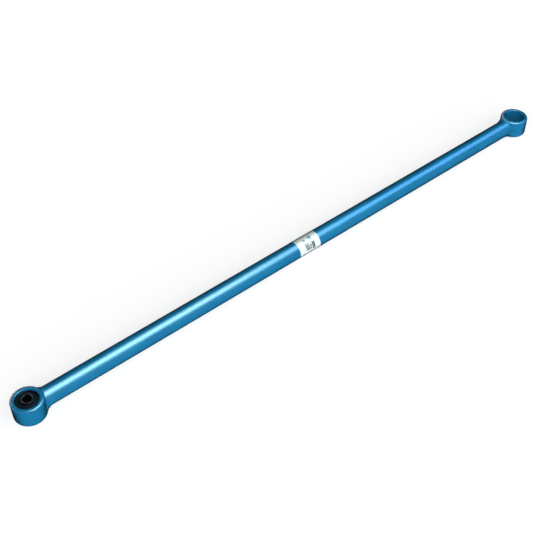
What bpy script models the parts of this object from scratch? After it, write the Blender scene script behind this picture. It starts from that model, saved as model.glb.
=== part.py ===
"""A straight tubular lateral rod, or Panhard rod, for a live axle.

A steel tube is coped onto two eyes and welded round. The near eye holds a bonded rubber bush: an outer
sleeve, the rubber and an inner sleeve that the bracket bolt clamps. The far eye is an open bore.

+X runs along the rod from the near eye to the far eye and +Z along both eyes' axes. The origin is on the
tube's axis, midway between the eyes. Sizes are in metres.
"""

import math

import bmesh
import bpy

EYE_SPACING = 0.965  # between the two eyes' axes

TUBE_OD = 0.028
TUBE_WALL = 0.003

EYE_OD = 0.046
EYE_BORE = 0.033
EYE_SHOULDER = 0.0015  # how far an eye's face stands past the tube on each side
EYE_EDGE_RADIUS = 0.0035
BORE_CHAMFER = 0.0008

NEAR_WELD_LEG = 0.008  # the weld's reach along the tube
FAR_WELD_LEG = 0.014
WELD_EYE_LEG = 0.006  # the weld's reach round the eye
WELD_THROAT = 0.45  # how far the weld's face hollows towards its root, from 0 to 1

OUTER_SLEEVE_WALL = 0.0015
OUTER_SLEEVE_RECESS = 0.0025  # from the eye's face in to the sleeve's end
OUTER_SLEEVE_CHAMFER = 0.0005
INNER_SLEEVE_OD = 0.018
INNER_SLEEVE_PROUD = 0.001  # how far the inner sleeve stands past the eye's face
INNER_SLEEVE_CHAMFER = 0.0006
BOLT_HOLE = 0.0124  # an M12 bolt's clearance hole

RUBBER_OUTER_SETBACK = 0.0015  # from the outer sleeve's end in to the rubber's rim
RUBBER_INNER_SETBACK = 0.0025  # from the inner sleeve's end in to the rubber's lip
RUBBER_DISH = 0.0012  # how deep the rubber's end face is hollowed

LABEL_LENGTH = 0.040
LABEL_SHIFT = -0.003  # from the tube's middle
LABEL_THICKNESS = 0.0003
LABEL_WRAP = math.radians(318)
LABEL_SEAM = math.radians(128)  # where the label's seam faces, from +Z towards +Y

FIT_GAP = 0.0003  # between two faces that touch on the real rod

ROUND_STEPS = 48
EDGE_STEPS = 4
DISH_STEPS = 6
WELD_BACK_STEPS = 4
WELD_FACE_STEPS = 5

tube_radius = TUBE_OD / 2
eye_radius = EYE_OD / 2
eye_half_width = tube_radius + EYE_SHOULDER
bore_radius = EYE_BORE / 2
edge_radius = min(EYE_EDGE_RADIUS, 0.6 * (eye_radius - bore_radius))  # limited by the eye's wall
near_x = -EYE_SPACING / 2
far_x = EYE_SPACING / 2


def clear_scene():
    for old in list(bpy.data.objects):
        bpy.data.objects.remove(old, do_unlink=True)


def paint(name, colour, roughness, metallic):
    material = bpy.data.materials.new(name)
    material.use_nodes = True
    shader = material.node_tree.nodes["Principled BSDF"]
    shader.inputs["Base Color"].default_value = (*colour, 1)
    shader.inputs["Roughness"].default_value = roughness
    shader.inputs["Metallic"].default_value = metallic
    material.diffuse_color = (*colour, 1)
    return material


def add_object(name, mesh, material, parent):
    piece = bpy.data.objects.new(name, mesh)
    bpy.context.scene.collection.objects.link(piece)
    piece.parent = parent
    if material:
        mesh.materials.append(material)
    return piece


def add_empty(name, x):
    empty = bpy.data.objects.new(name, None)
    bpy.context.scene.collection.objects.link(empty)
    empty.location.x = x
    return empty


def smooth(mesh, sharp_angle=math.radians(35)):
    mesh.shade_smooth()
    mesh.set_sharp_from_angle(angle=sharp_angle)


def turned(name, profile, material, parent):
    """A ring about its own Z axis. The profile's (radius, z) points run down the outside and up the inside."""
    mesh = bpy.data.meshes.new(name)
    points = [(radius, 0, z) for radius, z in profile]
    edges = [(i, (i + 1) % len(points)) for i in range(len(points))]
    mesh.from_pydata(points, edges, [])
    piece = add_object(name, mesh, material, parent)
    screw = piece.modifiers.new("turn", "SCREW")
    screw.angle = math.tau
    screw.steps = screw.render_steps = ROUND_STEPS
    screw.use_merge_vertices = True
    screw.merge_threshold = 0.0001
    screw.use_smooth_shade = True
    return piece


def eye_skin(z):
    """The radius that lies a gap outside the eye at height z, round its rounded edge too."""
    into_edge = max(abs(z) - (eye_half_width - edge_radius), 0)
    edge_skin = edge_radius + FIT_GAP
    return eye_radius - edge_radius + math.sqrt(edge_skin**2 - into_edge**2)


def eye(name, material, parent):
    corner = eye_half_width - edge_radius
    turns = [math.pi / 2 * step / EDGE_STEPS for step in range(EDGE_STEPS + 1)]
    outer = eye_radius - edge_radius
    upper = [(outer + edge_radius * math.sin(t), corner + edge_radius * math.cos(t)) for t in turns]
    lower = [(radius, -z) for radius, z in reversed(upper)]
    bore = [
        (bore_radius + BORE_CHAMFER, -eye_half_width),
        (bore_radius, -eye_half_width + BORE_CHAMFER),
        (bore_radius, eye_half_width - BORE_CHAMFER),
        (bore_radius + BORE_CHAMFER, eye_half_width),
    ]
    return turned(name, upper + lower + bore, material, parent)


def cope_cutter(name, x):
    """The eye's own cylinder, a gap larger, which shapes the tube's end to sit on the eye."""
    mesh = bpy.data.meshes.new(name)
    shape = bmesh.new()
    bmesh.ops.create_cone(
        shape,
        cap_ends=True,
        segments=ROUND_STEPS,
        radius1=eye_radius + FIT_GAP,
        radius2=eye_radius + FIT_GAP,
        depth=4 * eye_half_width,
    )
    shape.to_mesh(mesh)
    shape.free()
    cutter = add_object(name, mesh, None, None)
    cutter.location.x = x
    cutter.hide_render = True
    cutter.display_type = "WIRE"
    return cutter


def rod_tube(material, parent):
    """The tube runs from one eye's axis to the other's, and each cope takes back what the eye fills."""
    inner = tube_radius - TUBE_WALL
    profile = [(tube_radius, far_x), (tube_radius, near_x), (inner, near_x), (inner, far_x)]
    tube = turned("rod_tube", profile, material, parent)
    tube.rotation_euler = (0, math.pi / 2, 0)
    for end, x in (("near", near_x), ("far", far_x)):
        cope = tube.modifiers.new(f"{end}_cope", "BOOLEAN")
        cope.operation = "DIFFERENCE"
        cope.object = cope_cutter(f"{end}_cope_cutter", x)
    return tube


def weld_section(turn, leg):
    """The weld's outline at one turn about the tube, as (away from the eye, y, z) points from the eye's axis."""
    seat = tube_radius + FIT_GAP
    y, z = seat * math.sin(turn), seat * math.cos(turn)
    skin = eye_radius + FIT_GAP
    root_arc = math.asin(y / skin)
    toe_arc = root_arc + WELD_EYE_LEG * math.sin(turn) / skin
    top = eye_half_width - edge_radius / 3
    toe_height = max(-top, min(top, z + WELD_EYE_LEG * math.cos(turn)))

    def on_eye(share):
        arc = root_arc + (toe_arc - root_arc) * share
        height = z + (toe_height - z) * share
        radius = eye_skin(height)
        return radius * math.cos(arc), radius * math.sin(arc), height

    root, *back, eye_toe = [on_eye(step / WELD_BACK_STEPS) for step in range(WELD_BACK_STEPS + 1)]
    tube_toe = (math.sqrt(skin**2 - y**2) + leg, y, z)
    face = []
    for step in range(1, WELD_FACE_STEPS):
        share = step / WELD_FACE_STEPS
        straight = [a + (b - a) * share for a, b in zip(tube_toe, eye_toe)]
        pull = WELD_THROAT * 2 * share * (1 - share)
        face.append(tuple(s + (r - s) * pull for s, r in zip(straight, root)))
    return [root, tube_toe, *face, eye_toe, *reversed(back)]


def weld(name, leg, side, material, parent):
    """The bead round one joint, on the side of the eye that faces the tube."""
    shape = bmesh.new()
    rings = []
    for step in range(ROUND_STEPS):
        section = weld_section(math.tau * step / ROUND_STEPS, leg)
        rings.append([shape.verts.new((side * away, y, z)) for away, y, z in section])
    for ring, following in zip(rings, rings[1:] + rings[:1]):
        for i in range(len(ring)):
            j = (i + 1) % len(ring)
            shape.faces.new((ring[i], ring[j], following[j], following[i]))
    bmesh.ops.recalc_face_normals(shape, faces=shape.faces)
    mesh = bpy.data.meshes.new(name)
    shape.to_mesh(mesh)
    shape.free()
    smooth(mesh)
    return add_object(name, mesh, material, parent)


def chamfered_ring(outer, inner, half, outer_chamfer, inner_chamfer):
    upper = [(outer - outer_chamfer, half), (outer, half - outer_chamfer)]
    lower = [(radius, -z) for radius, z in reversed(upper)]
    bore = [
        (inner + inner_chamfer, -half),
        (inner, -half + inner_chamfer),
        (inner, half - inner_chamfer),
        (inner + inner_chamfer, half),
    ]
    return upper + lower + bore


def bush(steel, rubber, parent):
    sleeve_outer = bore_radius - FIT_GAP
    sleeve_inner = sleeve_outer - OUTER_SLEEVE_WALL
    sleeve_half = eye_half_width - OUTER_SLEEVE_RECESS
    shell = chamfered_ring(
        sleeve_outer, sleeve_inner, sleeve_half, OUTER_SLEEVE_CHAMFER, OUTER_SLEEVE_CHAMFER
    )
    turned("bush_outer_sleeve", shell, steel, parent)

    core_outer = INNER_SLEEVE_OD / 2
    core_half = eye_half_width + INNER_SLEEVE_PROUD
    core = chamfered_ring(core_outer, BOLT_HOLE / 2, core_half, INNER_SLEEVE_CHAMFER, INNER_SLEEVE_CHAMFER)
    turned("bush_inner_sleeve", core, steel, parent)

    rim = (sleeve_inner - FIT_GAP, sleeve_half - RUBBER_OUTER_SETBACK)
    lip = (core_outer + FIT_GAP, core_half - RUBBER_INNER_SETBACK)
    upper = []
    for step in range(DISH_STEPS + 1):
        share = step / DISH_STEPS
        radius = lip[0] + (rim[0] - lip[0]) * share
        height = lip[1] + (rim[1] - lip[1]) * share - RUBBER_DISH * 4 * share * (1 - share)
        upper.append((radius, height))
    lower = [(radius, -z) for radius, z in reversed(upper)]
    turned("bush_rubber", upper + lower, rubber, parent)


def label(material, parent):
    """A thin band round the middle of the tube, spun up to its seam and closed at both ends."""
    inner = tube_radius + FIT_GAP
    outer = inner + LABEL_THICKNESS
    half = LABEL_LENGTH / 2
    shape = bmesh.new()
    corners = [(-half, 0, inner), (half, 0, inner), (half, 0, outer), (-half, 0, outer)]
    section = shape.faces.new([shape.verts.new(corner) for corner in corners])
    start = LABEL_SEAM + (math.tau - LABEL_WRAP) / 2
    turn_x = (-1, 0, 0)  # +Z towards +Y is a left-handed turn about +X
    bmesh.ops.spin(shape, geom=[section], axis=turn_x, angle=LABEL_WRAP, steps=ROUND_STEPS)
    bmesh.ops.recalc_face_normals(shape, faces=shape.faces)
    mesh = bpy.data.meshes.new("label")
    shape.to_mesh(mesh)
    shape.free()
    smooth(mesh)
    band = add_object("label", mesh, material, parent)
    band.location.x = LABEL_SHIFT
    band.rotation_euler.x = -start
    return band


def main():
    clear_scene()
    blue = paint("blue_paint", (0.012, 0.19, 0.42), 0.3, 0.4)
    steel = paint("sleeve_steel", (0.25, 0.25, 0.26), 0.4, 1.0)
    rubber = paint("bush_rubber", (0.02, 0.022, 0.026), 0.6, 0.0)
    foil = paint("label_foil", (0.82, 0.86, 0.86), 0.35, 0.0)

    rod = add_empty("rod_centre", 0)
    near = add_empty("near_eye_centre", near_x)
    far = add_empty("far_eye_centre", far_x)
    rod_tube(blue, rod)
    eye("near_eye", blue, near)
    eye("far_eye", blue, far)
    weld("near_weld", NEAR_WELD_LEG, 1, blue, near)
    weld("far_weld", FAR_WELD_LEG, -1, blue, far)
    bush(steel, rubber, near)
    label(foil, rod)


main()
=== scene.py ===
"""The finished lateral rod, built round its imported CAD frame.

A blue enamelled tube with a welded eye at each end, a rubber bush in the near eye and a foil label round the
middle. Sizes are in metres. +X runs along the rod to the far eye and +Z along the eyes' axes.
"""

import math
from contextlib import contextmanager

import bmesh
import bpy
from mathutils import Matrix, Vector


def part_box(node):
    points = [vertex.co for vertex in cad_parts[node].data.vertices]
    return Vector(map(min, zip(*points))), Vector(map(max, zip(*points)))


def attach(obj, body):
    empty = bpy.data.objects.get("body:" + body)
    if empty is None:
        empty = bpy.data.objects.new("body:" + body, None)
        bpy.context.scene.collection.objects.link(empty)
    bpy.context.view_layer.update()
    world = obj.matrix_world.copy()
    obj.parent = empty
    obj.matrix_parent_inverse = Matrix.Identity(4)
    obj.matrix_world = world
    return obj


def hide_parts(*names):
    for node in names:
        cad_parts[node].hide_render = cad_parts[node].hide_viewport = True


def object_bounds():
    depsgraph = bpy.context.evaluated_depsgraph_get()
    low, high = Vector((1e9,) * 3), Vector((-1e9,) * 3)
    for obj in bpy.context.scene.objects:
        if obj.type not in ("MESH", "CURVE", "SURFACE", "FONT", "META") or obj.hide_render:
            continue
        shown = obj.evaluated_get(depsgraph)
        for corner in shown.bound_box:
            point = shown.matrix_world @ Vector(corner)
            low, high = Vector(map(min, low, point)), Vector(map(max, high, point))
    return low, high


bl_info = {
    "name": "Lateral Rod",
    "version": (1, 0, 0),
    "blender": (4, 5, 0),
    "location": "3D View > Sidebar > Lateral Rod",
    "description": "Builds the finished surfaces of a tubular lateral rod",
    "category": "Add Mesh",
}

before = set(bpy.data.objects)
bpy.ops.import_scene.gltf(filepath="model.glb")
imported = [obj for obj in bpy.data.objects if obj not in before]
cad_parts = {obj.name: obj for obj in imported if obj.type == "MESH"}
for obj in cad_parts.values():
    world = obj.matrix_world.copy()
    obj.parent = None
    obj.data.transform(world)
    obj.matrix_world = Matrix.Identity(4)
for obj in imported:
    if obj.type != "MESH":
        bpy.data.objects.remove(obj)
cad_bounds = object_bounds()


def width_of(node, axis):
    low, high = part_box(node)
    return high[axis] - low[axis]


def middle_of(node):
    low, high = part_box(node)
    return (low + high) / 2


NEAR_EYE = middle_of("near_eye")
FAR_EYE = middle_of("far_eye")
EYE_RADIUS = width_of("near_eye", 1) / 2
EYE_HALF_WIDTH = width_of("near_eye", 2) / 2
TUBE_RADIUS = width_of("rod_tube", 2) / 2
CORE_RADIUS = width_of("bush_inner_sleeve", 1) / 2
CORE_HALF = width_of("bush_inner_sleeve", 2) / 2
SHELL_RADIUS = width_of("bush_outer_sleeve", 1) / 2
SHELL_HALF = width_of("bush_outer_sleeve", 2) / 2
RUBBER_RADIUS = width_of("bush_rubber", 1) / 2
RUBBER_HALF = width_of("bush_rubber", 2) / 2
LABEL_LENGTH = width_of("label", 0)
LABEL_MIDDLE = middle_of("label").x
FLOOR_HEIGHT = cad_bounds[0].z


def length_setting(name, description, default):
    return bpy.props.FloatProperty(
        name=name, description=description, default=default, min=0, unit="LENGTH", precision=5
    )


def colour_setting(name, description, default):
    return bpy.props.FloatVectorProperty(
        name=name, description=description, default=default, subtype="COLOR", size=3, min=0, max=1
    )


def amount_setting(name, description, default):
    return bpy.props.FloatProperty(name=name, description=description, default=default, min=0)


class RodSizes(bpy.types.PropertyGroup):
    """Sizes of the finished pieces that the CAD frame doesn't fix"""

    tube_wall: length_setting("Tube wall", "Wall thickness of the rod's tube", 0.003)
    bore_radius: length_setting("Bore radius", "Radius of each eye's bore", 0.0165)
    edge_radius: length_setting("Eye edge", "Radius of the eyes' outer edges", 0.0035)
    bore_chamfer: length_setting("Bore chamfer", "Bevel at the mouth of each bore", 0.0009)
    bolt_radius: length_setting("Bolt hole radius", "Radius of the inner sleeve's hole", 0.0062)
    shell_wall: length_setting("Sleeve wall", "Wall thickness of the bush's outer sleeve", 0.0015)
    near_weld_leg: length_setting("Near weld leg", "The near weld's reach along the tube", 0.008)
    far_weld_leg: length_setting("Far weld leg", "The far weld's reach along the tube", 0.014)
    weld_eye_leg: length_setting("Weld eye leg", "A weld's reach round the eye", 0.006)
    ripple_pitch: length_setting("Weld pitch", "Distance between two ripples of a weld", 0.0026)
    ripple_height: length_setting("Weld ripple", "Height of a weld's ripples under the enamel", 0.00005)
    label_thickness: length_setting("Label thickness", "Thickness of the foil label", 0.00016)


class RodColours(bpy.types.PropertyGroup):
    """Colours of the finished pieces"""

    enamel: colour_setting("Enamel", "The blue enamel", (0.003, 0.165, 0.345))
    enamel_deep: colour_setting("Deep enamel", "The enamel where it lies thick", (0.002, 0.13, 0.28))
    rubber: colour_setting("Rubber", "The bush's rubber", (0.002, 0.005, 0.009))
    rubber_bloom: colour_setting("Rubber bloom", "The haze on the rubber's face", (0.005, 0.016, 0.03))
    sleeve: colour_setting("Sleeve steel", "The bush's steel sleeves", (0.018, 0.021, 0.027))
    foil: colour_setting("Label foil", "The label's silvery white ground", (0.68, 0.77, 0.76))
    print_grey: colour_setting("Label print", "The label's printed marks", (0.03, 0.035, 0.05))
    floor: colour_setting("Floor", "The studio floor", (0.4, 0.4, 0.4))


class StudioSettings(bpy.types.PropertyGroup):
    """The camera and the lights"""

    azimuth: bpy.props.FloatProperty(
        name="Azimuth", description="Camera's turn from the rod's side", default=math.radians(-39.02),
        subtype="ANGLE", unit="ROTATION",
    )
    elevation: bpy.props.FloatProperty(
        name="Elevation", description="Camera's height above the rod", default=math.radians(44.57),
        subtype="ANGLE", unit="ROTATION",
    )
    roll: bpy.props.FloatProperty(
        name="Roll", description="Camera's turn about its own line of sight", default=math.radians(-0.69),
        subtype="ANGLE", unit="ROTATION",
    )
    distance: length_setting("Distance", "From the camera to the rod's middle", 1.4771)
    slide_right: bpy.props.FloatProperty(
        name="Slide", description="How far the camera slides to its right", default=-0.0610, unit="LENGTH"
    )
    slide_up: bpy.props.FloatProperty(
        name="Rise", description="How far the camera slides upwards", default=-0.0347, unit="LENGTH"
    )
    lens: bpy.props.FloatProperty(
        name="Lens", description="Focal length in millimetres", default=65.0, min=1
    )
    fill: amount_setting("Fill", "Soft light from all round", 1.0)
    lean: amount_setting("Lean", "How much more of the fill comes from the front than from behind", 2.2)
    glow: amount_setting("Glow", "The floor's own light", 0.7)
    key: amount_setting("Key", "Softbox over the near half", 44.0)
    wide: amount_setting("Wide", "Wide, dimmer softbox round the key", 46.0)
    trail: amount_setting("Trail", "Softbox past the far end", 35.0)


def sizes():
    return bpy.context.scene.lateral_rod_sizes


def colours():
    return bpy.context.scene.lateral_rod_colours


# Modelling helpers


def select_only(*pieces):
    for chosen in bpy.context.selected_objects:
        chosen.select_set(False)
    for piece in pieces:
        piece.select_set(True)
    if pieces:
        bpy.context.view_layer.objects.active = pieces[0]


@contextmanager
def editing(piece, mode="FACE"):
    """Edit mode on one piece, with nothing in it selected."""
    select_only(piece)
    bpy.ops.object.mode_set(mode="EDIT")
    bpy.ops.mesh.select_mode(type=mode)
    bpy.ops.mesh.select_all(action="DESELECT")
    yield
    bpy.ops.object.mode_set(mode="OBJECT")


def pick(piece, kind, test):
    """Selects the verts, edges or faces of the piece that pass the test."""
    shape = bmesh.from_edit_mesh(piece.data)
    for item in getattr(shape, kind):
        if test(item):
            item.select_set(True)
    shape.select_flush_mode()
    bmesh.update_edit_mesh(piece.data)


def named(name):
    piece = bpy.context.active_object
    piece.name = name
    piece.data.name = name
    return piece


def settle(piece):
    """Leaves the piece's place in its mesh and its object at the origin."""
    select_only(piece)
    bpy.ops.object.transform_apply(location=True, rotation=True, scale=True)


def spun(name, outline, centre, axis, steps):
    """Draws half a section point by point, then spins it all the way round the axis through the centre."""
    select_only()
    bpy.ops.mesh.primitive_plane_add(size=0.002, location=centre)
    piece = named(name)
    with editing(piece, "VERT"):
        bpy.ops.mesh.select_all(action="SELECT")
        bpy.ops.mesh.merge(type="CENTER")
        bpy.ops.transform.translate(value=outline[0])
        for here, there in zip(outline, outline[1:]):
            bpy.ops.mesh.extrude_vertices_move(TRANSFORM_OT_translate={"value": there - here})
        bpy.ops.mesh.select_all(action="DESELECT")
        pick(piece, "verts", lambda vert: len(vert.link_edges) == 1)
        bpy.ops.mesh.edge_face_add()
        bpy.ops.mesh.select_all(action="SELECT")
        bpy.ops.mesh.spin(steps=steps, angle=math.tau, center=centre, axis=axis)
        bpy.ops.mesh.select_all(action="SELECT")
        bpy.ops.mesh.remove_doubles(threshold=0.000005)
        bpy.ops.mesh.normals_make_consistent(inside=False)
    settle(piece)
    return piece


def ring(name, profile, centre, steps):
    """A ring about +Z from (radius, height) points."""
    return spun(name, [Vector((radius, 0, height)) for radius, height in profile], centre, (0, 0, 1), steps)


def rounded_profile(outer, inner, half, outer_bend, inner_bend):
    """Half a ring's section with its corners rounded.

    The (radius, height) points run down the outside and up the bore.
    """
    steps, points = 8, []
    for radius, height, bend, start in (
        (outer - outer_bend, half - outer_bend, outer_bend, 90),
        (outer - outer_bend, outer_bend - half, outer_bend, 0),
        (inner + inner_bend, inner_bend - half, inner_bend, -90),
        (inner + inner_bend, half - inner_bend, inner_bend, -180),
    ):
        for step in range(steps + 1):
            turn = math.radians(start - 90 * step / steps)
            points.append((radius + bend * math.cos(turn), height + bend * math.sin(turn)))
    return points


def smooth(piece, angle=math.radians(32)):
    select_only(piece)
    bpy.ops.object.shade_smooth_by_angle(angle=angle)


def cut_away(piece, cutter):
    boolean = piece.modifiers.new("cut", "BOOLEAN")
    boolean.operation = "DIFFERENCE"
    boolean.object = cutter
    select_only(piece)
    bpy.ops.object.modifier_apply(modifier=boolean.name)


def finish_piece(piece, body, node, material):
    piece.data.materials.clear()
    piece.data.materials.append(material)
    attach(piece, body)
    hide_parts(node)


# Shader helpers


def add(tree, kind, inputs=None, **settings):
    """A node of this kind. Each input is a value or another node's output."""
    made = tree.nodes.new("ShaderNode" + kind)
    for key, value in settings.items():
        setattr(made, key, value)
    for key, value in (inputs or {}).items():
        if isinstance(value, bpy.types.NodeSocket):
            tree.links.new(value, made.inputs[key])
        else:
            made.inputs[key].default_value = value
    return made


def maths(tree, operation, *values, clamp=False):
    node = add(tree, "Math", dict(enumerate(values)), operation=operation, use_clamp=clamp)
    return node.outputs[0]


def ramp(tree, value, low, high):
    """0 up to low and 1 from high, smooth between them."""
    node = add(
        tree, "MapRange", {"Value": value, "From Min": low, "From Max": high},
        interpolation_type="SMOOTHSTEP",
    )
    return node.outputs["Result"]


def mixed(tree, share, first, second):
    """The first colour where share is 0 and the second where it is 1."""
    factor, colour_a, colour_b, colour_result = 0, 6, 7, 2  # a Mix node's sockets in colour mode
    node = add(tree, "Mix", {factor: share, colour_a: first, colour_b: second}, data_type="RGBA")
    return node.outputs[colour_result]


def rgba(colour):
    return (*colour, 1)


def new_group(name, inputs, outputs):
    """An empty node group with named float inputs, given with their defaults, and named float outputs."""
    group = bpy.data.node_groups.new(name, "ShaderNodeTree")
    for label, default in inputs.items():
        socket = group.interface.new_socket(label, in_out="INPUT", socket_type="NodeSocketFloat")
        socket.default_value = default
    for label in outputs:
        group.interface.new_socket(label, in_out="OUTPUT", socket_type="NodeSocketFloat")
    return group, group.nodes.new("NodeGroupInput"), group.nodes.new("NodeGroupOutput")


def use_group(tree, name, **inputs):
    node = tree.nodes.new("ShaderNodeGroup")
    node.node_tree = bpy.data.node_groups.get(name) or GROUP_MAKERS[name](name)
    for key, value in inputs.items():
        socket = node.inputs[key.capitalize()]
        if isinstance(value, bpy.types.NodeSocket):
            tree.links.new(value, socket)
        else:
            socket.default_value = value
    return node


# Effects that more than one finish uses


def make_mottle(name):
    """Broad soft patches, from 0 to 1, of about the given size in metres."""
    group, taken, given = new_group(name, {"Size": 0.02}, ["Value"])
    place = add(group, "TexCoord").outputs["Object"]
    scale = maths(group, "DIVIDE", 1.0, taken.outputs["Size"])
    noise = add(group, "TexNoise", {"Vector": place, "Scale": scale, "Detail": 4.0, "Roughness": 0.55})
    group.links.new(ramp(group, noise.outputs["Fac"], 0.3, 0.7), given.inputs["Value"])
    return group


def make_dust(name):
    """Fine specks, denser on what faces up. Amount runs from 0 to 1."""
    group, taken, given = new_group(name, {"Amount": 0.3}, ["Mask"])
    place = add(group, "TexCoord").outputs["Object"]
    speck = add(group, "TexNoise", {"Vector": place, "Scale": 900.0, "Detail": 2.0})
    cloud = add(group, "TexNoise", {"Vector": place, "Scale": 45.0, "Detail": 3.0})
    up = add(group, "SeparateXYZ", {0: add(group, "TexCoord").outputs["Normal"]}).outputs["Z"]
    facing = ramp(group, up, -0.4, 0.9)
    grains = ramp(group, speck.outputs["Fac"], 0.52, 0.72)
    patches = ramp(group, cloud.outputs["Fac"], 0.35, 0.7)
    mask = maths(group, "MULTIPLY", maths(group, "MULTIPLY", grains, patches), facing)
    group.links.new(maths(group, "MULTIPLY", mask, taken.outputs["Amount"]), given.inputs["Mask"])
    return group


def make_grain(name):
    """A fine surface height, from 0 to 1, whose lumps are about the given size in metres."""
    group, taken, given = new_group(name, {"Size": 0.002}, ["Height"])
    place = add(group, "TexCoord").outputs["Object"]
    scale = maths(group, "DIVIDE", 1.0, taken.outputs["Size"])
    noise = add(group, "TexNoise", {"Vector": place, "Scale": scale, "Detail": 2.0, "Roughness": 0.5})
    group.links.new(noise.outputs["Fac"], given.inputs["Height"])
    return group


GROUP_MAKERS = {"mottle": make_mottle, "dust": make_dust, "grain": make_grain}


# Finishes


def new_finish(name, plain):
    """A material with its Principled shader's plain values set on the shader's own sockets."""
    material = bpy.data.materials.new(name)
    material.use_nodes = True
    tree = material.node_tree
    shader = tree.nodes["Principled BSDF"]
    for key, value in plain.items():
        shader.inputs[key].default_value = value
    return material, tree, shader


def bump(tree, shader, height, depth):
    node = add(tree, "Bump", {"Height": height, "Strength": 1.0, "Distance": depth})
    tree.links.new(node.outputs["Normal"], shader.inputs["Normal"])


def axis_distance(tree, centre):
    """How far a point is from the vertical line through the centre, and its height."""
    place = add(tree, "TexCoord").outputs["Object"]
    moved = add(tree, "Mapping", {"Vector": place, "Location": -centre})
    x, y, z = add(tree, "SeparateXYZ", {0: moved.outputs[0]}).outputs
    squares = maths(tree, "ADD", maths(tree, "MULTIPLY", x, x), maths(tree, "MULTIPLY", y, y))
    return maths(tree, "SQRT", squares), z


def limb_shade(tree):
    """0 where the surface faces the viewer, and 1 where it turns away. It masks the shade painted along
    silhouettes.
    """
    return ramp(tree, add(tree, "LayerWeight", {"Blend": 0.5}).outputs["Facing"], 0.4, 0.8)


def enamel(name, eye_centre=None):
    """Metallic blue enamel, darkened towards its silhouettes as painted shade. On an eye, a grey band along
    the outer rims of its two faces, on its back side, is worn enamel and a painted reflection of the
    backdrop.
    """
    tint = colours()
    material, tree, shader = new_finish(name, {
        "Metallic": 0.12, "Specular IOR Level": 0.1, "Specular Tint": (0.3, 0.95, 0.9, 1),
        "Coat Weight": 1.0, "Coat Roughness": 0.24, "Coat IOR": 1.5,
    })
    patches = use_group(tree, "mottle", size=0.035).outputs["Value"]
    dust = use_group(tree, "dust", amount=0.1).outputs["Mask"]
    place = add(tree, "TexCoord").outputs["Object"]
    flakes = add(tree, "TexVoronoi", {"Vector": place, "Scale": 1700.0})
    sparkle = add(tree, "SeparateColor", {0: flakes.outputs["Color"]}).outputs[0]
    broad = maths(tree, "MULTIPLY", patches, 0.45)
    share = maths(tree, "ADD", broad, maths(tree, "MULTIPLY", sparkle, 0.55))
    colour = mixed(tree, share, rgba(tint.enamel_deep), rgba(tint.enamel))
    # Painted shade: the enamel turns near black towards its silhouettes, where it faces away from the
    # viewer.
    colour = mixed(tree, limb_shade(tree), colour, rgba(component * 0.2 for component in tint.enamel_deep))
    colour = mixed(tree, dust, colour, (0.12, 0.3, 0.42, 1))
    roughness = maths(tree, "ADD", 0.36, maths(tree, "MULTIPLY", patches, 0.08))
    roughness = maths(tree, "ADD", roughness, maths(tree, "MULTIPLY", dust, 0.5))
    peel = use_group(tree, "grain", size=0.0016).outputs["Height"]
    waves = use_group(tree, "grain", size=0.009).outputs["Height"]
    height = maths(tree, "ADD", maths(tree, "MULTIPLY", peel, 0.35), waves)
    if eye_centre:
        # A grey band on the outer rims of the faces, on the eye's back side only. It is partly worn enamel,
        # with a dip in the bump, and partly a painted reflection of the backdrop on the rounded edge.
        away, z = axis_distance(tree, eye_centre)
        edge = sizes().edge_radius
        outer_rim = ramp(tree, away, EYE_RADIUS - edge * 1.3, EYE_RADIUS - edge * 0.8)
        off_middle = maths(tree, "ABSOLUTE", z)
        by_face = ramp(tree, off_middle, EYE_HALF_WIDTH - edge * 0.7, EYE_HALF_WIDTH - edge * 0.2)
        outer_rim = maths(tree, "MULTIPLY", outer_rim, by_face)
        toward_back = add(tree, "VectorMath", {0: place, 1: Vector((-0.2, 0.98, 0))}, operation="DOT_PRODUCT")
        outward = 0.2 * -eye_centre.x
        side_low, side_high = outward - EYE_RADIUS * 0.2, outward + EYE_RADIUS * 0.9
        end_side = ramp(tree, toward_back.outputs["Value"], side_low, side_high)
        wear_and_reflection_noise = add(tree, "TexNoise", {"Vector": place, "Scale": 240.0, "Detail": 5.0, "Roughness": 0.65})
        breaks = ramp(tree, wear_and_reflection_noise.outputs["Fac"], 0.38, 0.54)
        wear_and_reflection = maths(tree, "MULTIPLY", maths(tree, "MULTIPLY", outer_rim, end_side), breaks)
        colour = mixed(tree, maths(tree, "MULTIPLY", wear_and_reflection, 0.85), colour, (0.42, 0.47, 0.52, 1))
        height = maths(tree, "SUBTRACT", height, maths(tree, "MULTIPLY", wear_and_reflection, 0.8))
    tree.links.new(colour, shader.inputs["Base Color"])
    tree.links.new(roughness, shader.inputs["Roughness"])
    bump(tree, shader, height, 0.00006)
    return material


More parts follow.
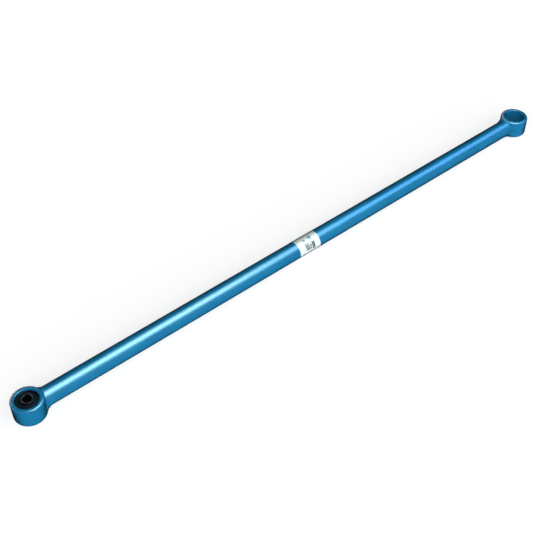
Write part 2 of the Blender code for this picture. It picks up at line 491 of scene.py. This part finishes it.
def sleeve_steel(name, shade, roughness):
    """Turned steel, darkened by oil, with lines round the bush's axis and a little rust in patches. A shade
    below 1 darkens this copy of the steel as painted shade.
    """
    material, tree, shader = new_finish(name, {"Metallic": 1.0})
    away, z = axis_distance(tree, NEAR_EYE)
    fine = [maths(tree, "MULTIPLY", part, 2600.0) for part in (away, z)]
    line = add(tree, "CombineXYZ", dict(enumerate(fine)))
    lines = add(tree, "TexNoise", {"Vector": line.outputs[0], "Scale": 1.0, "Detail": 2.0}).outputs["Fac"]
    patches = use_group(tree, "mottle", size=0.006).outputs["Value"]
    dust = use_group(tree, "dust", amount=0.35).outputs["Mask"]
    # Both tones are scaled by shade; below 1 this paints shade on a darker copy of the steel.
    dark = rgba(component * shade * 0.6 for component in colours().sleeve)
    light = rgba(component * shade for component in colours().sleeve)
    colour = mixed(tree, lines, dark, light)
    rusty = maths(tree, "MULTIPLY", ramp(tree, patches, 0.62, 1.0), 0.3)
    colour = mixed(tree, rusty, colour, (0.10, 0.05, 0.03, 1))
    colour = mixed(tree, dust, colour, (0.06, 0.07, 0.08, 1))
    tree.links.new(colour, shader.inputs["Base Color"])
    rough = maths(tree, "ADD", roughness, maths(tree, "MULTIPLY", maths(tree, "ADD", lines, patches), 0.1))
    tree.links.new(rough, shader.inputs["Roughness"])
    bump(tree, shader, lines, 0.00004)
    return material


def bush_rubber_finish():
    """Black moulded rubber with a dull bluish bloom on its faces."""
    tint = colours()
    material, tree, shader = new_finish("moulded rubber", {"Metallic": 0.0, "Specular IOR Level": 0.06})
    away, _ = axis_distance(tree, NEAR_EYE)
    rings = add(tree, "CombineXYZ", {0: maths(tree, "MULTIPLY", away, 1500.0)})
    mould = add(tree, "TexNoise", {"Vector": rings.outputs[0], "Scale": 1.0, "Detail": 1.0}).outputs["Fac"]
    patches = use_group(tree, "mottle", size=0.007).outputs["Value"]
    dust = use_group(tree, "dust", amount=0.25).outputs["Mask"]
    grain = use_group(tree, "grain", size=0.0007).outputs["Height"]
    colour = mixed(tree, maths(tree, "MULTIPLY", patches, 0.6), rgba(tint.rubber), rgba(tint.rubber_bloom))
    colour = mixed(tree, dust, colour, (0.05, 0.08, 0.1, 1))
    tree.links.new(colour, shader.inputs["Base Color"])
    rough = maths(tree, "ADD", 0.6, maths(tree, "MULTIPLY", patches, 0.2))
    tree.links.new(rough, shader.inputs["Roughness"])
    height = maths(tree, "ADD", grain, maths(tree, "MULTIPLY", mould, 0.6))
    bump(tree, shader, height, 0.00008)
    return material


def label_finish():
    """Silvery foil printed with a plain pattern of bars and blocks that spells nothing."""
    tint = colours()
    material, tree, shader = new_finish("label foil", {
        "Metallic": 0.0, "Coat Weight": 1.0, "Coat Roughness": 0.15, "Coat IOR": 1.6,
    })
    place = add(tree, "TexCoord").outputs["Object"]
    x, y, z = add(tree, "SeparateXYZ", {0: place}).outputs
    along = maths(tree, "SUBTRACT", x, LABEL_MIDDLE)
    facing = math.radians(-38)  # where the print's middle faces, from +Z towards +Y
    angle = maths(tree, "SUBTRACT", maths(tree, "ARCTAN2", y, z), facing)
    across = maths(tree, "MULTIPLY", angle, TUBE_RADIUS)

    def within(value, low, high, soft=0.0002):
        rise = ramp(tree, value, low - soft, low + soft)
        fall = maths(tree, "SUBTRACT", 1.0, ramp(tree, value, high - soft, high + soft))
        return maths(tree, "MULTIPLY", rise, fall)

    def marks(left, right, low, high, cell, rows, share):
        """A block of random dashes in rows. One row gives upright bars."""
        pitch = (high - low) / rows
        up = maths(tree, "DIVIDE", maths(tree, "SUBTRACT", across, low), pitch)
        column = maths(tree, "FLOOR", maths(tree, "DIVIDE", along, cell))
        row = maths(tree, "FLOOR", up)
        cells = add(tree, "CombineXYZ", {0: column, 1: row, 2: low * 1000})
        value = add(tree, "TexWhiteNoise", {"Vector": cells.outputs[0]}).outputs["Value"]
        filled = maths(tree, "LESS_THAN", value, share)
        if rows > 1:
            filled = maths(tree, "MULTIPLY", filled, within(maths(tree, "FRACT", up), 0.08, 0.88, 0.05))
        inside = maths(tree, "MULTIPLY", within(along, left, right), within(across, low, high))
        return maths(tree, "MULTIPLY", filled, inside)

    blocks = (
        marks(-0.0085, 0.0030, -0.0110, 0.0008, 0.0007, 6, 0.82),
        marks(0.0043, 0.0095, -0.0130, -0.0008, 0.0004, 1, 0.82),
        marks(0.0022, 0.0085, 0.0030, 0.0093, 0.0008, 3, 0.95),
        marks(-0.0085, -0.0035, 0.0035, 0.0075, 0.0007, 2, 0.8),
    )
    ink = blocks[0]
    for block in blocks[1:]:
        ink = maths(tree, "MAXIMUM", ink, block)
    dust = use_group(tree, "dust", amount=0.25).outputs["Mask"]
    patches = use_group(tree, "mottle", size=0.008).outputs["Value"]
    ground = mixed(tree, patches, rgba(component * 0.9 for component in tint.foil), rgba(tint.foil))
    colour = mixed(tree, maths(tree, "MULTIPLY", ink, 0.97), ground, rgba(tint.print_grey))
    colour = mixed(tree, dust, colour, (0.5, 0.5, 0.5, 1))
    # Painted shade: the foil darkens towards its silhouettes, where it turns away from the viewer.
    colour = mixed(tree, maths(tree, "MULTIPLY", limb_shade(tree), 0.8), colour, (0.06, 0.08, 0.085, 1))
    tree.links.new(colour, shader.inputs["Base Color"])
    rough = maths(tree, "ADD", 0.42, maths(tree, "MULTIPLY", maths(tree, "ADD", ink, patches), 0.1))
    tree.links.new(rough, shader.inputs["Roughness"])
    bump(tree, shader, use_group(tree, "grain", size=0.004).outputs["Height"], 0.00012)
    return material


# The operators, one for each piece or group of like pieces


class AddTube(bpy.types.Operator):
    """Adds the rod's tube, coped at both ends to sit on the eyes"""

    bl_idname = "lateral_rod.add_tube"
    bl_label = "Tube"

    def execute(self, context):
        length = (FAR_EYE - NEAR_EYE).length
        inner = TUBE_RADIUS - sizes().tube_wall
        loop_inset, cope_overlap = 0.045, 0.0002
        outline = [Vector((x, 0, z)) for z, x in (
            (TUBE_RADIUS, length / 2), (TUBE_RADIUS, -length / 2), (inner, -length / 2), (inner, length / 2),
        )]
        tube = spun("tube", outline, (NEAR_EYE + FAR_EYE) / 2, (1, 0, 0), 160)
        for eye in (NEAR_EYE, FAR_EYE):
            inward = 1 if eye.x < 0 else -1
            with editing(tube):
                bpy.ops.mesh.select_all(action="SELECT")
                bpy.ops.mesh.bisect(plane_co=eye + Vector((inward * loop_inset, 0, 0)), plane_no=(1, 0, 0))
            select_only()
            bpy.ops.mesh.primitive_cylinder_add(
                vertices=192, radius=EYE_RADIUS - cope_overlap, depth=4 * EYE_HALF_WIDTH, location=eye
            )
            cope = named("cope")
            cut_away(tube, cope)
            bpy.data.objects.remove(cope)
        smooth(tube)
        finish_piece(tube, "rod", "rod_tube", enamel("tube enamel"))
        return {"FINISHED"}


class AddEyes(bpy.types.Operator):
    """Adds the two eyes, turned rings with rounded rims"""

    bl_idname = "lateral_rod.add_eyes"
    bl_label = "Eyes"

    def execute(self, context):
        for node, centre in (("near_eye", NEAR_EYE), ("far_eye", FAR_EYE)):
            self.add_eye(node, centre)
        return {"FINISHED"}

    def add_eye(self, node, centre):
        profile = rounded_profile(
            EYE_RADIUS, sizes().bore_radius, EYE_HALF_WIDTH, sizes().edge_radius, sizes().bore_chamfer
        )
        eye = ring(f"{node}_ring", profile, centre, 400)
        smooth(eye, math.radians(40))
        finish_piece(eye, "rod", node, enamel(f"{node} enamel", centre))


def eye_skin(height, out):
    """The radius that lies this far outside an eye's surface at the given height, round its edge too."""
    edge = sizes().edge_radius
    into_edge = max(abs(height) - (EYE_HALF_WIDTH - edge), 0)
    return EYE_RADIUS - edge + math.sqrt(max((edge + out) ** 2 - into_edge**2, 0))


class AddWelds(bpy.types.Operator):
    """Adds the painted weld beads that close the joints between the tube and the eyes"""

    bl_idname = "lateral_rod.add_welds"
    bl_label = "Welds"

    def execute(self, context):
        self.add_weld("near_weld", NEAR_EYE, 1, sizes().near_weld_leg)
        self.add_weld("far_weld", FAR_EYE, -1, sizes().far_weld_leg)
        return {"FINISHED"}

    def add_weld(self, node, eye, side, leg):
        """Adds a torus round the tube, then draws each of its sections out into a hollow fillet."""
        around, across = 360, 28
        select_only()
        bpy.ops.mesh.primitive_torus_add(
            major_segments=around, minor_segments=across, major_radius=TUBE_RADIUS, minor_radius=0.002,
            location=eye + Vector((side * EYE_RADIUS, 0, 0)), rotation=(0, math.pi / 2, 0),
        )
        bead = named(f"{node}_bead")
        settle(bead)
        for index, vert in enumerate(bead.data.vertices):
            turn = math.tau * (index // across) / around
            away, y, z = self.on_bead(turn, (index % across) / across, leg)
            vert.co = eye + Vector((side * away, y, z))
        with editing(bead):
            bpy.ops.mesh.select_all(action="SELECT")
            bpy.ops.mesh.normals_make_consistent(inside=False)
        smooth(bead, math.radians(60))
        finish_piece(bead, "rod", node, enamel(f"{node} enamel"))

    def on_bead(self, turn, share, leg):
        """A point of the section at this turn about the tube.

        Shares up to face_share run over the bead's face, from its toe on the tube to its toe on the eye, and
        the rest runs back beneath the surfaces.
        """
        sunk, face_share = -0.00015, 0.7
        reach = sizes().weld_eye_leg
        seat = TUBE_RADIUS + sunk
        y, z = seat * math.sin(turn), seat * math.cos(turn)
        top = EYE_HALF_WIDTH - sizes().edge_radius * 0.3
        rim = max(-top, min(top, z + reach * math.cos(turn)))
        arc = math.asin(y / EYE_RADIUS) + reach * math.sin(turn) / EYE_RADIUS
        on_eye = eye_skin(rim, sunk)
        eye_toe = Vector((on_eye * math.cos(arc), on_eye * math.sin(arc), rim))
        root_away = math.sqrt(EYE_RADIUS**2 - y**2)
        tube_toe = Vector((root_away + leg, y, z))
        if share > face_share:
            hidden = Vector((root_away - 0.0006, y * 0.94, z * 0.94))
            back = (share - face_share) / 0.3
            return self.bezier(back, eye_toe, hidden, hidden, tube_toe)
        along = share / face_share
        radial = Vector((0, math.sin(turn), math.cos(turn)))
        round_eye = Vector((-math.sin(arc), math.cos(arc), 0)) * math.sin(turn)
        skin_along = round_eye + Vector((0, 0, math.cos(turn)))
        root = Vector((root_away, y, z))
        tube_pull = tube_toe + Vector((-leg * 0.4, 0, 0))
        eye_pull = eye_toe - skin_along.normalized() * (eye_toe - root).length * 0.4
        place = self.bezier(along, tube_toe, tube_pull, eye_pull, eye_toe)
        pitch = math.tau * TUBE_RADIUS / sizes().ripple_pitch
        lean = 1.1 * along * along
        ripple = math.sin(round(pitch) * turn + lean * math.pi) + 0.45 * math.sin(3 * turn + 1)
        swell = math.sin(math.pi * along) ** 0.8 if 0 < along < 1 else 0
        normal = (radial + Vector((1, 0, 0))).normalized()
        return place + normal * ripple * swell * sizes().ripple_height

    def bezier(self, share, start, start_pull, end_pull, end):
        rest = 1 - share
        place = start * rest**3 + start_pull * 3 * rest**2 * share
        place = place + end_pull * 3 * rest * share**2
        return place + end * share**3


class AddBush(bpy.types.Operator):
    """Adds the near eye's bush: a pressed-in outer sleeve, the rubber and the inner sleeve"""

    bl_idname = "lateral_rod.add_bush"
    bl_label = "Bush"

    def execute(self, context):
        self.add_shell()
        self.add_rubber()
        self.add_core()
        return {"FINISHED"}

    def add_shell(self):
        lip = 0.0005
        profile = rounded_profile(SHELL_RADIUS, SHELL_RADIUS - sizes().shell_wall, SHELL_HALF, lip, lip)
        shell = ring("bush_shell", profile, NEAR_EYE, 256)
        smooth(shell)
        # Painted shade: the outer sleeve, down in the bore, gets a copy of the sleeve steel at half
        # brightness.
        steel = sleeve_steel("outer sleeve steel", 0.5, 0.42)
        finish_piece(shell, "rod", "bush_outer_sleeve", steel)

    def add_rubber(self):
        """The rubber's end faces are hollow and climb the sleeves a little.

        It is sunk a little way into both sleeves, which stands for the bond.
        """
        inside, outside = CORE_RADIUS - 0.0001, RUBBER_RADIUS + 0.0006
        low, high = SHELL_HALF - 0.001, RUBBER_HALF
        steps, upper = 26, []
        for step in range(steps + 1):
            share = step / steps
            radius = inside + (outside - inside) * share
            fall = high + (low - high) * share
            dish = 0.0016 * (1 - (2 * share - 1) ** 4)
            upper.append((radius, fall - dish))
        lower = [(radius, -height) for radius, height in reversed(upper)]
        rubber = ring("bush_rubber_moulding", upper + lower, NEAR_EYE, 128)
        smooth(rubber)
        finish_piece(rubber, "rubber", "bush_rubber", bush_rubber_finish())

    def add_core(self):
        """The inner sleeve, with radial teeth on both end faces that bite into the bracket."""
        teeth, depth, edge = 36, 0.0002, 0.0006
        bolt = sizes().bolt_radius
        profile = [
            (CORE_RADIUS - edge, CORE_HALF), (CORE_RADIUS, CORE_HALF - edge),
            (CORE_RADIUS, edge - CORE_HALF), (CORE_RADIUS - edge, -CORE_HALF),
            (bolt + edge, -CORE_HALF), (bolt, edge - CORE_HALF),
            (bolt, CORE_HALF - edge), (bolt + edge, CORE_HALF),
        ]
        core = ring("bush_core", profile, NEAR_EYE, 4 * teeth)
        for vert in core.data.vertices:
            if abs(abs(vert.co.z) - CORE_HALF) < 1e-5:
                offset = vert.co - NEAR_EYE
                tooth = round(math.atan2(offset.y, offset.x) / math.tau * 4 * teeth) % 4
                vert.co.z -= math.copysign(depth * (0, 0.5, 1, 0.5)[tooth], vert.co.z)
        smooth(core, math.radians(20))
        steel = sleeve_steel("inner sleeve steel", 1.0, 0.34)
        finish_piece(core, "inner_sleeve", "bush_inner_sleeve", steel)


class AddLabel(bpy.types.Operator):
    """Adds the foil label wrapped round the middle of the tube"""

    bl_idname = "lateral_rod.add_label"
    bl_label = "Label"

    def execute(self, context):
        wrap, seam = math.radians(318), math.radians(128)
        lift = 0.00005
        select_only()
        bpy.ops.mesh.primitive_grid_add(
            x_subdivisions=46, y_subdivisions=120, size=1, location=middle_of("rod_tube")
        )
        foil = named("label_band")
        for vert in foil.data.vertices:
            turn = seam + math.pi + vert.co.y * wrap
            crinkle = 0.00003 * math.sin(900 * vert.co.x) * math.sin(5 * turn)
            reach = TUBE_RADIUS + lift + abs(crinkle)
            along = LABEL_MIDDLE + vert.co.x * LABEL_LENGTH
            vert.co = (along, reach * math.sin(turn), reach * math.cos(turn))
        settle(foil)
        with editing(foil):
            bpy.ops.mesh.select_all(action="SELECT")
            bpy.ops.mesh.solidify(thickness=-sizes().label_thickness)
            bpy.ops.mesh.select_all(action="SELECT")
            bpy.ops.mesh.normals_make_consistent(inside=False)
        smooth(foil)
        finish_piece(foil, "rod", "label", label_finish())
        return {"FINISHED"}


class AddStage(bpy.types.Operator):
    """Adds the floor, the lights and the camera"""

    bl_idname = "lateral_rod.add_stage"
    bl_label = "Studio"

    def execute(self, context):
        context.scene.view_settings.view_transform = "Standard"
        self.add_floor()
        self.add_world(context)
        self.add_lights(context)
        self.add_camera(context)
        return {"FINISHED"}

    def add_floor(self):
        select_only()
        bpy.ops.mesh.primitive_plane_add(size=60, location=(0, 0, FLOOR_HEIGHT - 0.0002))
        floor = named("studio_floor")
        plain = {
            "Base Color": rgba(colours().floor), "Roughness": 0.9, "Specular IOR Level": 0.0,
            "Emission Color": (1, 1, 1, 1), "Emission Strength": bpy.context.scene.lateral_rod_studio.glow,
        }
        material, _, _ = new_finish("floor paper", plain)
        floor.data.materials.append(material)
        floor.visible_glossy = False

    def add_world(self, context):
        """A white backdrop, soft light that leans to the front, and a dark room for what shines."""
        studio = context.scene.lateral_rod_studio
        world = bpy.data.worlds.new("studio")
        world.use_nodes = True
        world.cycles.sampling_method = "NONE"  # so that every ray finds the background meant for its kind
        context.scene.world = world
        tree = world.node_tree
        path = add(tree, "LightPath")
        place = add(tree, "TexCoord").outputs["Generated"]
        towards = add(tree, "VectorMath", {0: place, 1: (-0.29, -0.91, -0.30)}, operation="DOT_PRODUCT")
        front = towards.outputs["Value"]
        leaning = maths(tree, "ADD", 1.0, maths(tree, "MULTIPLY", front, studio.lean))
        level = maths(tree, "MULTIPLY", studio.fill, maths(tree, "MAXIMUM", leaning, 0.03))
        soft = add(tree, "CombineColor", {0: level, 1: level, 2: level}).outputs[0]
        low_front = add(tree, "VectorMath", {0: place, 1: (-0.3, -0.9, -0.3)}, operation="DOT_PRODUCT")
        share = ramp(tree, low_front.outputs["Value"], -0.5, 0.9)
        room = mixed(tree, share, (0.006, 0.015, 0.022, 1), (0.03, 0.14, 0.20, 1))
        colour = mixed(tree, path.outputs["Is Glossy Ray"], soft, room)
        colour = mixed(tree, path.outputs["Is Camera Ray"], colour, (1, 1, 1, 1))
        tree.links.new(colour, tree.nodes["Background"].inputs["Color"])

    def add_lights(self, context):
        """Softboxes that only what shines reflects. The fill lights the rest."""
        studio = context.scene.lateral_rod_studio
        self.add_softbox("near softbox", (0.08, -0.43, 1.5), (1.15, 1.1), studio.key, (0.85, 1.0, 0.9))
        self.add_softbox("wide softbox", (0.25, -0.44, 1.55), (1.5, 2.3), studio.wide, (0.6, 1.0, 0.85))
        self.add_softbox("far softbox", (1.3, -0.40, 1.3), (1.2, 1.1), studio.trail, (0.22, 0.55, 1.0))

    def add_softbox(self, name, place, size, power, colour):
        select_only()
        bpy.ops.object.light_add(type="AREA", location=place)
        light = bpy.context.active_object
        light.name = name
        light.data.shape = "RECTANGLE"
        light.data.size, light.data.size_y = size
        light.data.energy = power
        light.data.color = colour
        light.visible_diffuse = False
        light.visible_camera = False
        aim = Matrix.Rotation(math.atan2(place[1], place[2]), 3, "X")
        light.rotation_euler = aim.inverted().to_euler()

    def add_camera(self, context):
        studio = context.scene.lateral_rod_studio
        swing = Matrix.Rotation(studio.azimuth, 3, "Z")
        turn = swing @ Matrix.Rotation(math.pi / 2 - studio.elevation, 3, "X")
        turn = turn @ Matrix.Rotation(studio.roll, 3, "Z")
        camera = bpy.data.objects.new("camera", bpy.data.cameras.new("camera"))
        context.scene.collection.objects.link(camera)
        camera.matrix_world = turn.to_4x4()
        camera.location = turn @ Vector((studio.slide_right, studio.slide_up, studio.distance))
        camera.data.lens = studio.lens
        context.scene.camera = camera


class LateralRodPanel(bpy.types.Panel):
    """Lists the rod's pieces and the studio"""

    bl_idname = "VIEW3D_PT_lateral_rod"
    bl_label = "Lateral Rod"
    bl_space_type = "VIEW_3D"
    bl_region_type = "UI"
    bl_category = "Lateral Rod"

    def draw(self, context):
        for operator in OPERATORS:
            self.layout.operator(operator.bl_idname)
        for group in (sizes(), colours(), context.scene.lateral_rod_studio):
            for key in group.__annotations__:
                self.layout.prop(group, key)


OPERATORS = (AddTube, AddEyes, AddWelds, AddBush, AddLabel, AddStage)
SETTINGS = {
    "lateral_rod_sizes": RodSizes,
    "lateral_rod_colours": RodColours,
    "lateral_rod_studio": StudioSettings,
}


def register():
    for kind in (*SETTINGS.values(), *OPERATORS, LateralRodPanel):
        bpy.utils.register_class(kind)
    for key, kind in SETTINGS.items():
        setattr(bpy.types.Scene, key, bpy.props.PointerProperty(type=kind))


def unregister():
    for key in SETTINGS:
        delattr(bpy.types.Scene, key)
    for kind in reversed((*SETTINGS.values(), *OPERATORS, LateralRodPanel)):
        bpy.utils.unregister_class(kind)


def main():
    register()
    bpy.ops.lateral_rod.add_tube()
    bpy.ops.lateral_rod.add_eyes()
    bpy.ops.lateral_rod.add_welds()
    bpy.ops.lateral_rod.add_bush()
    bpy.ops.lateral_rod.add_label()
    bpy.ops.lateral_rod.add_stage()


if __name__ == "__main__":
    main()
